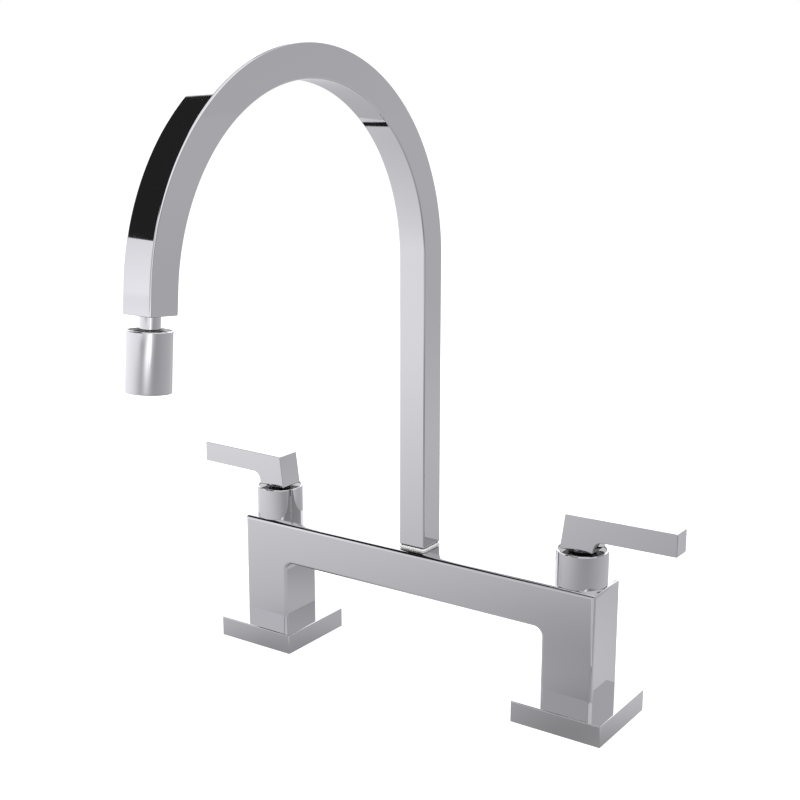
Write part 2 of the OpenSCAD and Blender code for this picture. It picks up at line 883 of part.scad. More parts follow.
bridge_body();
at_inlet(-1) base_plate();  // base_plate_left
at_inlet(1) base_plate();  // base_plate_right
at_inlet(-1) plate_gasket();  // plate_gasket_left
at_inlet(1) plate_gasket();  // plate_gasket_right
at_inlet(-1) bonnet();  // bonnet_left
at_inlet(1) bonnet();  // bonnet_right
at_inlet(-1) glide_ring();  // glide_ring_left
at_inlet(1) glide_ring();  // glide_ring_right
at_inlet(-1) headwork();  // headwork_left
at_inlet(1) headwork();  // headwork_right
at_inlet(-1) headwork_washer();  // headwork_washer_left
at_inlet(1) headwork_washer();  // headwork_washer_right
at_inlet(-1) seat_seal();  // seat_seal_left
at_inlet(1) seat_seal();  // seat_seal_right
at_inlet(-1) fixed_disc();  // fixed_disc_left
at_inlet(1) fixed_disc();  // fixed_disc_right
at_inlet(-1) moving_disc();  // moving_disc_left
at_inlet(1) moving_disc();  // moving_disc_right
at_inlet(-1) spindle();  // spindle_left
at_inlet(1) spindle();  // spindle_right
at_inlet(-1) spindle_o_rings();  // spindle_o_rings_left
at_inlet(1) spindle_o_rings();  // spindle_o_rings_right
at_inlet(-1) spindle_clip();  // spindle_clip_left
at_inlet(1) spindle_clip();  // spindle_clip_right
on_side(-1) lever();  // lever_left
on_side(1) lever();  // lever_right
at_inlet(-1) lever_screw();  // lever_screw_left
at_inlet(1) lever_screw();  // lever_screw_right
spout_collar();
spout_washer();
spout_screw();
spout_tail();
spout_o_rings();
spout_tube();
outlet_bush();
ball_stud();
stud_o_ring();
stud_clip();
outlet_barrel();
ball_retainer();
ball_seat();
aerator_washer();
aerator_housing();
flow_screen();
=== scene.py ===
import json
import math

import bmesh
import bpy
from bpy.props import FloatProperty, FloatVectorProperty, IntProperty, PointerProperty
from mathutils import Matrix, Vector


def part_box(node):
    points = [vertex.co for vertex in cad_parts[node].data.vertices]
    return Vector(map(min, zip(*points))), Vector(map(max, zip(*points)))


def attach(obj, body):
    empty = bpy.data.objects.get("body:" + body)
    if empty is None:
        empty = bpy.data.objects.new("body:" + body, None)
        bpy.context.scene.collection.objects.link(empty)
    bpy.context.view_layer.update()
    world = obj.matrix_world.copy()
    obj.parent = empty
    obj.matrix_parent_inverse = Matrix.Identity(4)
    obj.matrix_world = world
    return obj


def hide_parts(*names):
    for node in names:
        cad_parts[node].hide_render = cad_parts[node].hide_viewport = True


bl_info = {
    "name": "Bridge Kitchen Faucet",
    "version": (1, 0, 0),
    "blender": (4, 5, 0),
    "location": "3D View > Sidebar > Faucet",
    "description": "Dresses a two handle bridge faucet in chrome and sets up its studio",
    "category": "Add Mesh",
}

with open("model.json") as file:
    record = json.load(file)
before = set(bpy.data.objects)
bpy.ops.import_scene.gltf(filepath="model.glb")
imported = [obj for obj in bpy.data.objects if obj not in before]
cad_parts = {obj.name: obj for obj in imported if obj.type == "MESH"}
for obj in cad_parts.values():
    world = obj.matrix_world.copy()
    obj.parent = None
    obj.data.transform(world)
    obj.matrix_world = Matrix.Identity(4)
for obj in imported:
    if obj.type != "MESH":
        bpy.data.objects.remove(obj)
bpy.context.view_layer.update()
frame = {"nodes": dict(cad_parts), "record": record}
NODES = frame["nodes"]
RECORD = frame["record"]
BODY_OF = {node: body for body, nodes in RECORD["behaviour"]["bodies"].items() for node in nodes}
SLOT_OF = {row["node"]: row["material_slot"] for row in RECORD["subparts"]}
JOINT_AT = {joint["name"]: Vector(joint["pos_m"]) for joint in RECORD["behaviour"]["joints"]}
SIDES = ("left", "right")
MM = 0.001

# Steps round the rounded edge at each end of the spout tube
END_STEPS = 4

# Faces that meet at less than this are shaded as one surface
SMOOTH_ANGLE = math.radians(35)


def linear(code):
    """Turns a hex colour, such as "C7C7CA", into linear red, green, blue and alpha."""
    parts = [int(code[i:i + 2], 16) / 255 for i in (0, 2, 4)]
    return tuple(c / 12.92 if c <= 0.04045 else ((c + 0.055) / 1.055) ** 2.4 for c in parts) + (1.0,)


def add(tree, kind, settings=None, inputs=None):
    """Adds a node. An input that is given a socket is linked to it, and any other value is set."""
    node = tree.nodes.new(kind)
    for name, value in (settings or {}).items():
        setattr(node, name, value)
    for name, value in (inputs or {}).items():
        if isinstance(value, bpy.types.NodeSocket):
            tree.links.new(value, node.inputs[name])
        else:
            node.inputs[name].default_value = value
    return node


# Finishes

def new_finish(name):
    """Makes an empty material, and returns it and its node tree."""
    material = bpy.data.materials.new(name)
    material.use_nodes = True
    material.node_tree.nodes.clear()
    return material, material.node_tree


def chromium_plate(name, colour, wave, wave_height, lines, line_height, roughness):
    """Bright chromium over polished brass or zinc.

    It is a mirror. Broad, very shallow waves left by the buffing wheel bend what it mirrors a little,
    hair lines too fine to see one by one soften it, and wiping leaves it slightly duller in patches.
    wave is the waves' length, and wave_height and line_height are heights, in millimetres.
    lines is how many hair lines a metre holds along each axis.
    """
    material, tree = new_finish(name)
    place = add(tree, "ShaderNodeTexCoord").outputs["Object"]
    swell = add(tree, "ShaderNodeTexNoise", None, {"Vector": place, "Scale": 1 / (wave * MM), "Detail": 1.0})
    stretch = add(tree, "ShaderNodeMapping", None, {"Vector": place, "Scale": lines})
    hair = add(tree, "ShaderNodeTexNoise", None, {"Vector": stretch.outputs[0], "Scale": 1.0, "Detail": 2.0})
    wiped = add(tree, "ShaderNodeTexNoise", None, {"Vector": place, "Scale": 1 / (18 * MM), "Detail": 4.0})
    rough = add(tree, "ShaderNodeMapRange", None, {
        "Value": wiped.outputs[0], "From Min": 0.35, "From Max": 0.7, "To Min": roughness[0], "To Max": roughness[1]})
    broad = add(tree, "ShaderNodeBump", None, {
        "Height": swell.outputs[0], "Distance": wave_height * MM, "Strength": 1.0})
    fine = add(tree, "ShaderNodeBump", None, {
        "Height": hair.outputs[0], "Distance": line_height * MM, "Strength": 1.0, "Normal": broad.outputs[0]})
    metal = add(tree, "ShaderNodeBsdfPrincipled", None, {
        "Base Color": colour, "Metallic": 1.0, "Roughness": rough.outputs[0], "Normal": fine.outputs[0]})
    add(tree, "ShaderNodeOutputMaterial", None, {"Surface": metal.outputs[0]})
    return material


def machined_metal(name, code, stain, across, pitch, depth, roughness):
    """Bare metal off a lathe or a wire mill: fine tool lines at the given pitch, and duller, darker stains."""
    material, tree = new_finish(name)
    place = add(tree, "ShaderNodeTexCoord").outputs["Object"]
    stretch = add(tree, "ShaderNodeMapping", None, {"Vector": place, "Scale": across})
    lines = add(tree, "ShaderNodeTexNoise", None, {
        "Vector": stretch.outputs[0], "Scale": 1 / (pitch * MM), "Detail": 2.0})
    cloud = add(tree, "ShaderNodeTexNoise", None, {"Vector": place, "Scale": 1 / (5 * MM), "Detail": 5.0})
    tint = add(tree, "ShaderNodeMix", {"data_type": "RGBA"}, {
        0: cloud.outputs[0], 6: linear(code), 7: linear(stain)})
    rough = add(tree, "ShaderNodeMapRange", None, {
        "Value": cloud.outputs[0], "From Min": 0.3, "From Max": 0.7, "To Min": roughness[0], "To Max": roughness[1]})
    bump = add(tree, "ShaderNodeBump", None, {
        "Height": lines.outputs[0], "Distance": depth * MM, "Strength": 1.0})
    metal = add(tree, "ShaderNodeBsdfPrincipled", None, {
        "Base Color": tint.outputs[2], "Metallic": 1.0, "Roughness": rough.outputs[0], "Normal": bump.outputs[0]})
    add(tree, "ShaderNodeOutputMaterial", None, {"Surface": metal.outputs[0]})
    return material


def moulded(name, code, shade, grain, grain_height, roughness, ior, sheen=0.0, coat=0.0):
    """Moulded rubber, plastic, fibre or ceramic: a fine grain from the mould and a faint change of shade."""
    material, tree = new_finish(name)
    place = add(tree, "ShaderNodeTexCoord").outputs["Object"]
    pores = add(tree, "ShaderNodeTexNoise", None, {"Vector": place, "Scale": 1 / (grain * MM), "Detail": 3.0})
    cloud = add(tree, "ShaderNodeTexNoise", None, {"Vector": place, "Scale": 1 / (7 * MM), "Detail": 4.0})
    tint = add(tree, "ShaderNodeMix", {"data_type": "RGBA"}, {
        0: cloud.outputs[0], 6: linear(code), 7: linear(shade)})
    rough = add(tree, "ShaderNodeMapRange", None, {
        "Value": pores.outputs[0], "From Min": 0.3, "From Max": 0.7, "To Min": roughness[0], "To Max": roughness[1]})
    bump = add(tree, "ShaderNodeBump", None, {
        "Height": pores.outputs[0], "Distance": grain_height * MM, "Strength": 1.0})
    skin = add(tree, "ShaderNodeBsdfPrincipled", None, {
        "Base Color": tint.outputs[2], "Roughness": rough.outputs[0], "Normal": bump.outputs[0],
        "IOR": ior, "Sheen Weight": sheen, "Coat Weight": coat})
    add(tree, "ShaderNodeOutputMaterial", None, {"Surface": skin.outputs[0]})
    return material


def make_finishes():
    """Makes one finish for each material slot of the record."""
    plate = tuple(bpy.context.scene.faucet_finish.plate)
    return {
        # Cast brass, buffed along the bridge, then plated: a mirror with slightly wavy flats
        "body_chrome": chromium_plate(
            "Chromium plate on cast brass", plate, 15, 0.008, (40, 2500, 2500), 0.0001, (0.02, 0.05)),
        # Pressed plates, buffed flat: the flattest mirror of all
        "plate_chrome": chromium_plate(
            "Chromium plate on pressed plates", plate, 18, 0.006, (40, 2500, 2500), 0.0001, (0.02, 0.05)),
        # Turned brass: hair lines that run round the axis
        "bonnet_chrome": chromium_plate(
            "Chromium plate on turned bonnets", plate, 9, 0.002, (60, 60, 4000), 0.0001, (0.02, 0.05)),
        # Die cast zinc: a little more wave than the body
        "lever_chrome": chromium_plate(
            "Chromium plate on cast levers", plate, 12, 0.006, (40, 2500, 2500), 0.0001, (0.02, 0.05)),
        # Drawn square tube, bent: long waves along it
        "spout_chrome": chromium_plate(
            "Chromium plate on drawn tube", plate, 22, 0.008, (2500, 60, 60), 0.0001, (0.02, 0.05)),
        # Turned brass again, a little duller where drops dry on it
        "outlet_chrome": chromium_plate(
            "Chromium plate on the turned outlet", plate, 9, 0.002, (60, 60, 4000), 0.0001, (0.03, 0.07)),
        # Free cutting brass: yellow, with tool lines, browner where it has stood in water
        "valve_brass": machined_metal(
            "Turned brass", "D0B06A", "A98545", (0.1, 0.1, 1), 0.35, 0.004, (0.16, 0.34)),
        # Blued spring wire: dark grey, oiled
        "spring_steel": machined_metal(
            "Oiled spring steel", "84868C", "5E6066", (1, 1, 0.2), 0.3, 0.002, (0.22, 0.4)),
        # Stainless set screws: pale grey, ground
        "screw_steel": machined_metal(
            "Ground stainless steel", "A9AAAE", "8C8D92", (1, 0.2, 1), 0.25, 0.003, (0.18, 0.32)),
        # EPDM sheet: matt dark grey with a cloth like grain
        "gasket_rubber": moulded(
            "EPDM rubber sheet", "202022", "2B2B2D", 0.6, 0.02, (0.62, 0.78), 1.52, sheen=0.1),
        # Moulded nitrile rings: black, a little glossier from grease
        "seal_rubber": moulded(
            "Greased nitrile rubber", "121213", "1C1C1D", 0.4, 0.006, (0.34, 0.5), 1.52),
        # Moulded acetal: deep black, smooth and glossy from grease
        "black_plastic": moulded(
            "Black acetal", "0B0B0C", "101011", 0.35, 0.001, (0.06, 0.14), 1.48, coat=0.6),
        # White acetal: a clean, slightly waxy white
        "white_plastic": moulded(
            "White acetal", "F6F6F4", "EEEEEB", 0.35, 0.003, (0.3, 0.42), 1.48),
        # Grey acetal: plain and satin
        "grey_plastic": moulded(
            "Grey acetal", "A3A5A9", "96989C", 0.35, 0.003, (0.3, 0.45), 1.48),
        # Vulcanised fibre: dry brick red with paper like mottling
        "red_fibre": moulded(
            "Vulcanised fibre", "8E4A3C", "77392E", 0.5, 0.02, (0.66, 0.85), 1.5, sheen=0.15),
        # Lapped alumina: ivory, hard and glossy
        "disc_ceramic": moulded(
            "Lapped alumina ceramic", "F1EFE8", "E8E4DA", 0.2, 0.0005, (0.1, 0.2), 1.76, coat=0.2),
    }


FINISH = {}


def finish_of(node):
    """Finish of the material slot that a CAD node has in the record."""
    if not FINISH:
        FINISH.update(make_finishes())
    return FINISH[SLOT_OF[node]]


# Meshes

def to_piece(name, mesh, node, *more_nodes):
    """Makes an object of a mesh, and puts it in the place of one CAD node or more."""
    piece = bpy.data.objects.new(name, mesh)
    bpy.context.scene.collection.objects.link(piece)
    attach(piece, BODY_OF[node])
    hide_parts(node, *more_nodes)
    return piece


def even_shading(piece):
    """Lets the flats keep their own normals, so that only the rounded edges bend what is mirrored."""
    weigh = piece.modifiers.new("Even shading", "WEIGHTED_NORMAL")
    weigh.mode = "FACE_AREA_WITH_ANGLE"
    weigh.weight = 100
    weigh.keep_sharp = True


def mark_smooth(shape):
    """Shades all faces smoothly, and keeps sharp only the edges that are."""
    for face in shape.faces:
        face.smooth = True
    for edge in shape.edges:
        edge.smooth = len(edge.link_faces) == 2 and edge.calc_face_angle(0) < SMOOTH_ANGLE


def soften_edges(shape, radius, chosen):
    """Rounds the sharp outer edges whose middle point is chosen."""
    flat, sharp = math.radians(0.3), math.radians(50)
    bmesh.ops.dissolve_limit(shape, angle_limit=flat, verts=shape.verts, edges=shape.edges)
    edges = [edge for edge in shape.edges if len(edge.link_faces) == 2 and edge.is_convex
             and edge.calc_face_angle(0) > sharp and chosen((edge.verts[0].co + edge.verts[1].co) / 2)]
    if not edges:
        raise RuntimeError("no sharp edges were found to round")
    bmesh.ops.bevel(shape, geom=edges, offset=radius, offset_type="OFFSET", segments=3, profile=0.5,
                    affect="EDGES", clamp_overlap=False)
    # Where the rounded edges meet, no sliver is left
    bmesh.ops.triangulate(shape, faces=shape.faces)
    bmesh.ops.remove_doubles(shape, verts=shape.verts, dist=0.02 * MM)
    bmesh.ops.dissolve_degenerate(shape, edges=shape.edges, dist=0.005 * MM)


def polished_copy(node, soften=None):
    """Copies a CAD node, joins its loose triangles and shades its rounded edges smoothly.

    soften is the radius for its sharp edges and the test that chooses them.
    """
    source = NODES[node].data
    loose = bpy.data.meshes.new(node + "_polished")
    loose.from_pydata([v.co[:] for v in source.vertices], [], [p.vertices[:] for p in source.polygons])
    shape = bmesh.new()
    shape.from_mesh(loose)
    bmesh.ops.remove_doubles(shape, verts=shape.verts, dist=0.002 * MM)
    bmesh.ops.dissolve_degenerate(shape, edges=shape.edges, dist=0.002 * MM)
    if soften:
        soften_edges(shape, *soften)
    mark_smooth(shape)
    shape.to_mesh(loose)
    shape.free()
    loose.materials.append(finish_of(node))
    even_shading(to_piece(node + "_polished", loose, node))


def give_finish(*nodes):
    """Gives each CAD node that is shown as it is its own finish."""
    for node in nodes:
        for slot in NODES[node].material_slots:
            slot.material = finish_of(node)


def run_tree(name, tree, values):
    """Runs a Geometry Nodes tree with the given input values, and returns the mesh that it makes."""
    carrier = bpy.data.objects.new(name, bpy.data.meshes.new(name))
    bpy.context.scene.collection.objects.link(carrier)
    modifier = carrier.modifiers.new(name, "NODES")
    modifier.node_group = tree
    for item in tree.interface.items_tree:
        if item.item_type == "SOCKET" and item.in_out == "INPUT" and item.name in values:
            modifier[item.identifier] = values[item.name]
    bpy.context.view_layer.update()
    shown = carrier.evaluated_get(bpy.context.evaluated_depsgraph_get())
    mesh = bpy.data.meshes.new_from_object(shown)
    bpy.data.objects.remove(carrier)
    if not mesh.polygons:
        raise RuntimeError(name + " made no faces")
    return mesh


def new_tree(name, inputs):
    """Makes a Geometry Nodes tree, and returns it and the sockets that give its inputs."""
    tree = bpy.data.node_groups.new(name, "GeometryNodeTree")
    for label, kind in inputs:
        tree.interface.new_socket(label, in_out="INPUT", socket_type=kind)
    tree.interface.new_socket("Geometry", in_out="OUTPUT", socket_type="NodeSocketGeometry")
    return tree, add(tree, "NodeGroupInput").outputs


def spout_tree(material):
    """Sweeps a rounded rectangle up the riser, round the arc and down the tip, once for each side of the wall."""
    size = "NodeSocketFloat"
    tree, given = new_tree("Spout sweep", [
        ("Foot height", size), ("Arc height", size), ("Arc radius", size), ("Arc angle", size), ("Tip length", size),
        ("Width", size), ("Depth", size), ("Edge radius", size), ("Wall", size), ("End radius", size),
        ("Arc steps", "NodeSocketInt")])
    along = add(tree, "GeometryNodeInputIndex").outputs[0]
    count = add(tree, "ShaderNodeMath", {"operation": "ADD"}, {
        0: given["Arc steps"], 1: 2 * END_STEPS + 3}).outputs[0]
    points = add(tree, "GeometryNodeMeshLine", None, {"Count": count})

    # How far round the foot's edge a point is, from a quarter turn at the very end to none
    foot_share = add(tree, "ShaderNodeMapRange", None, {
        "Value": along, "From Min": 0.0, "From Max": END_STEPS, "To Min": math.pi / 2, "To Max": 0.0}).outputs[0]
    foot_sine = add(tree, "ShaderNodeMath", {"operation": "SINE"}, {0: foot_share}).outputs[0]
    foot_cosine = add(tree, "ShaderNodeMath", {"operation": "COSINE"}, {0: foot_share}).outputs[0]
    # The same for the edge at the tip
    tip_start = add(tree, "ShaderNodeMath", {"operation": "ADD"}, {
        0: given["Arc steps"], 1: END_STEPS + 2}).outputs[0]
    tip_index = add(tree, "ShaderNodeMath", {"operation": "SUBTRACT"}, {0: along, 1: tip_start}).outputs[0]
    tip_share = add(tree, "ShaderNodeMapRange", None, {
        "Value": tip_index, "From Min": 0.0, "From Max": END_STEPS, "To Min": 0.0, "To Max": math.pi / 2}).outputs[0]
    tip_sine = add(tree, "ShaderNodeMath", {"operation": "SINE"}, {0: tip_share}).outputs[0]
    tip_cosine = add(tree, "ShaderNodeMath", {"operation": "COSINE"}, {0: tip_share}).outputs[0]

    # Angle round the arc
    arc_index = add(tree, "ShaderNodeMath", {"operation": "SUBTRACT"}, {0: along, 1: END_STEPS + 1}).outputs[0]
    turn = add(tree, "ShaderNodeMapRange", None, {
        "Value": arc_index, "From Min": 0.0, "From Max": given["Arc steps"], "To Min": 0.0,
        "To Max": given["Arc angle"]}).outputs[0]
    sine = add(tree, "ShaderNodeMath", {"operation": "SINE"}, {0: turn}).outputs[0]
    cosine = add(tree, "ShaderNodeMath", {"operation": "COSINE"}, {0: turn}).outputs[0]

    # Height on the riser: the rounded end first, then the arc's height
    foot_lift = add(tree, "ShaderNodeMath", {"operation": "MULTIPLY_ADD"}, {
        0: foot_sine, 1: -1.0, 2: 1.0}).outputs[0]
    foot_z = add(tree, "ShaderNodeMath", {"operation": "MULTIPLY_ADD"}, {
        0: foot_lift, 1: given["End radius"], 2: given["Foot height"]}).outputs[0]
    above = add(tree, "ShaderNodeMath", {"operation": "GREATER_THAN"}, {0: along, 1: END_STEPS + 0.5}).outputs[0]
    riser_z = add(tree, "ShaderNodeMix", {"data_type": "FLOAT"}, {
        0: above, 2: foot_z, 3: given["Arc height"]}).outputs[0]

    # Length past the arc's end
    past = add(tree, "ShaderNodeMath", {"operation": "GREATER_THAN"}, {0: tip_index, 1: -0.5}).outputs[0]
    tip_back = add(tree, "ShaderNodeMath", {"operation": "MULTIPLY_ADD"}, {0: tip_sine, 1: 1.0, 2: -1.0}).outputs[0]
    tip_length = add(tree, "ShaderNodeMath", {"operation": "MULTIPLY_ADD"}, {
        0: tip_back, 1: given["End radius"], 2: given["Tip length"]}).outputs[0]
    extra = add(tree, "ShaderNodeMath", {"operation": "MULTIPLY"}, {0: tip_length, 1: past}).outputs[0]

    forward = add(tree, "ShaderNodeMath", {"operation": "MULTIPLY_ADD"}, {0: cosine, 1: 1.0, 2: -1.0}).outputs[0]
    arc_y = add(tree, "ShaderNodeMath", {"operation": "MULTIPLY"}, {0: forward, 1: given["Arc radius"]}).outputs[0]
    tip_y = add(tree, "ShaderNodeMath", {"operation": "MULTIPLY"}, {0: extra, 1: sine}).outputs[0]
    y = add(tree, "ShaderNodeMath", {"operation": "SUBTRACT"}, {0: arc_y, 1: tip_y}).outputs[0]
    arc_z = add(tree, "ShaderNodeMath", {"operation": "MULTIPLY_ADD"}, {
        0: sine, 1: given["Arc radius"], 2: riser_z}).outputs[0]
    z = add(tree, "ShaderNodeMath", {"operation": "MULTIPLY_ADD"}, {0: extra, 1: cosine, 2: arc_z}).outputs[0]
    spot = add(tree, "ShaderNodeCombineXYZ", None, {"Y": y, "Z": z}).outputs[0]
    placed = add(tree, "GeometryNodeSetPosition", None, {"Geometry": points.outputs[0], "Position": spot})
    path = add(tree, "GeometryNodeMeshToCurve", None, {"Mesh": placed.outputs[0]}).outputs[0]

    # The section shrinks a little at both ends, which rounds the outer edge there
    shrink = add(tree, "ShaderNodeMath", {"operation": "ADD"}, {0: foot_cosine, 1: tip_cosine}).outputs[0]
    inset = add(tree, "ShaderNodeMath", {"operation": "MULTIPLY_ADD"}, {0: shrink, 1: -1.0, 2: 2.0}).outputs[0]
    depth = add(tree, "ShaderNodeMath", {"operation": "MULTIPLY"}, {0: inset, 1: given["End radius"]}).outputs[0]
    half = add(tree, "ShaderNodeMath", {"operation": "MULTIPLY"}, {0: given["Width"], 1: -0.5}).outputs[0]
    share = add(tree, "ShaderNodeMath", {"operation": "DIVIDE"}, {0: depth, 1: half}).outputs[0]
    scale = add(tree, "ShaderNodeMath", {"operation": "ADD"}, {0: share, 1: 1.0}).outputs[0]

    walls = []
    for inner in (False, True):
        width, length, corner, grow = given["Width"], given["Depth"], given["Edge radius"], scale
        if inner:
            width = add(tree, "ShaderNodeMath", {"operation": "MULTIPLY_ADD"}, {
                0: given["Wall"], 1: -2.0, 2: width}).outputs[0]
            length = add(tree, "ShaderNodeMath", {"operation": "MULTIPLY_ADD"}, {
                0: given["Wall"], 1: -2.0, 2: length}).outputs[0]
            corner = add(tree, "ShaderNodeMath", {"operation": "MULTIPLY"}, {0: corner, 1: 0.15}).outputs[0]
            grow = 1.0
        outline = add(tree, "GeometryNodeCurvePrimitiveQuadrilateral", None, {"Width": width, "Height": length})
        rounded = add(tree, "GeometryNodeFilletCurve", {"mode": "POLY"}, {
            "Curve": outline.outputs[0], "Count": 8, "Radius": corner})
        wall = add(tree, "GeometryNodeCurveToMesh", None, {
            "Curve": path, "Profile Curve": rounded.outputs[0], "Scale": grow}).outputs[0]
        walls.append(wall)
    both = add(tree, "GeometryNodeJoinGeometry").inputs[0]
    for wall in walls:
        tree.links.new(wall, both)
    real = add(tree, "GeometryNodeRealizeInstances", None, {"Geometry": both.node.outputs[0]})
    dressed = add(tree, "GeometryNodeSetMaterial", None, {"Geometry": real.outputs[0], "Material": material})
    add(tree, "NodeGroupOutput", None, {0: dressed.outputs[0]})
    return tree


def close_end(shape, edges):
    """Joins the outer and the inner rim at one end of the tube, each corner to the one beside it."""
    rims, left = [], list(edges)
    while left:
        rim = list(left.pop(0).verts)
        following = True
        while following:
            following = [edge for edge in rim[-1].link_edges if edge in left]
            if following:
                left.remove(following[0])
                rim.append(following[0].other_vert(rim[-1]))
        if rim[-1] is rim[0]:
            rim.pop()
        rims.append(rim)
    if len(rims) != 2 or len(rims[0]) != len(rims[1]):
        raise RuntimeError("the tube's end doesn't have two matching rims")
    one, other = rims
    count = len(one)
    start = min(range(count), key=lambda k: (other[k].co - one[0].co).length)
    step = min((1, -1), key=lambda way: (other[(start + way) % count].co - one[1].co).length)
    other = [other[(start + step * k) % count] for k in range(count)]
    for k in range(count):
        shape.faces.new((one[k - 1], one[k], other[k], other[k - 1]))


def screen_tree(material):
    """Cuts rings of round holes, six more in each ring, through a disc at the end of the outlet."""
    size = "NodeSocketFloat"
    tree, given = new_tree("Flow screen", [
        ("Radius", size), ("Thickness", size), ("Hole radius", size), ("Ring spacing", size),
        ("Place", "NodeSocketVector"), ("Tilt", "NodeSocketRotation")])
    disc = add(tree, "GeometryNodeMeshCylinder", None, {
        "Vertices": 96, "Radius": given["Radius"], "Depth": given["Thickness"]}).outputs[0]
    drill_depth = add(tree, "ShaderNodeMath", {"operation": "MULTIPLY"}, {0: given["Thickness"], 1: 3.0}).outputs[0]
    drill = add(tree, "GeometryNodeMeshCylinder", None, {
        "Vertices": 20, "Radius": given["Hole radius"], "Depth": drill_depth}).outputs[0]
    drills = add(tree, "GeometryNodeJoinGeometry").inputs[0]
    tree.links.new(drill, drills)
    for row in (1, 2, 3):
        spread = add(tree, "ShaderNodeMath", {"operation": "MULTIPLY"}, {
            0: given["Ring spacing"], 1: float(row)}).outputs[0]
        ring = add(tree, "GeometryNodeMeshCircle", None, {"Vertices": 6 * row, "Radius": spread}).outputs[0]
        copies = add(tree, "GeometryNodeInstanceOnPoints", None, {"Points": ring, "Instance": drill}).outputs[0]
        tree.links.new(copies, drills)
    holes = add(tree, "GeometryNodeRealizeInstances", None, {"Geometry": drills.node.outputs[0]}).outputs[0]
    cut = add(tree, "GeometryNodeMeshBoolean", {"operation": "DIFFERENCE", "solver": "EXACT"}, {
        "Mesh 1": disc, "Mesh 2": holes}).outputs[0]
    turned = add(tree, "GeometryNodeTransform", None, {
        "Geometry": cut, "Translation": given["Place"], "Rotation": given["Tilt"]}).outputs[0]
    real = add(tree, "GeometryNodeRealizeInstances", None, {"Geometry": turned})
    dressed = add(tree, "GeometryNodeSetMaterial", None, {"Geometry": real.outputs[0], "Material": material})
    add(tree, "NodeGroupOutput", None, {0: dressed.outputs[0]})
    return tree


# Studio

def far_card(tree, towards, azimuth, elevation, half_width, half_height, soft):
    """Adds a rectangular studio card far away, and returns how much of it a direction sees, from 0 to 1."""
    turned = add(tree, "ShaderNodeVectorRotate", {"rotation_type": "Z_AXIS"}, {
        "Vector": towards, "Angle": -math.radians(azimuth)})
    level = add(tree, "ShaderNodeVectorRotate", {"rotation_type": "X_AXIS"}, {
        "Vector": turned.outputs[0], "Angle": math.radians(elevation)})
    axes = add(tree, "ShaderNodeSeparateXYZ", None, {0: level.outputs[0]})
    ahead = add(tree, "ShaderNodeMath", {"operation": "MULTIPLY"}, {0: axes.outputs[1], 1: -1.0})
    mask = add(tree, "ShaderNodeMath", {"operation": "GREATER_THAN"}, {0: ahead.outputs[0], 1: 0.02}).outputs[0]
    for axis, half in ((0, half_width), (2, half_height)):
        slope = add(tree, "ShaderNodeMath", {"operation": "DIVIDE"}, {0: axes.outputs[axis], 1: ahead.outputs[0]})
        size = add(tree, "ShaderNodeMath", {"operation": "ABSOLUTE"}, {0: slope.outputs[0]})
        edge = math.tan(math.radians(half))
        inside = add(tree, "ShaderNodeMapRange", {"interpolation_type": "SMOOTHSTEP"}, {
            "Value": size.outputs[0], "From Min": edge - soft, "From Max": edge + soft, "To Min": 1.0, "To Max": 0.0})
        mask = add(tree, "ShaderNodeMath", {"operation": "MULTIPLY"}, {0: mask, 1: inside.outputs[0]}).outputs[0]
    return mask


# Brightness that the mirrors see: black cloth, the softbox at the back left, the one overhead, the strip light
# on the right and the grey card behind the riser
BLACK = 0.024
SOFTBOX = 1.9
OVERHEAD = 1.25
STRIP = 1.85
GREY = 0.69

# The studio's light is very slightly violet where it is mirrored
TINT = (1.0, 0.989, 1.033, 1.0)

# Brightness of the studio's walls near the floor, by azimuth in degrees: 0 is the front, 90 the right
WALL = (
    (-180, 0.95), (-125, 1.0), (-95, 1.25), (-60, 1.3), (-47, 1.32), (-40, 1.42), (-28, 1.0), (-8, 0.8), (6, 0.72),
    (18, 0.85), (30, 1.0), (52, 0.9), (62, 0.55), (102, 0.55), (124, 0.62), (144, 0.65), (165, 0.8), (180, 0.95))


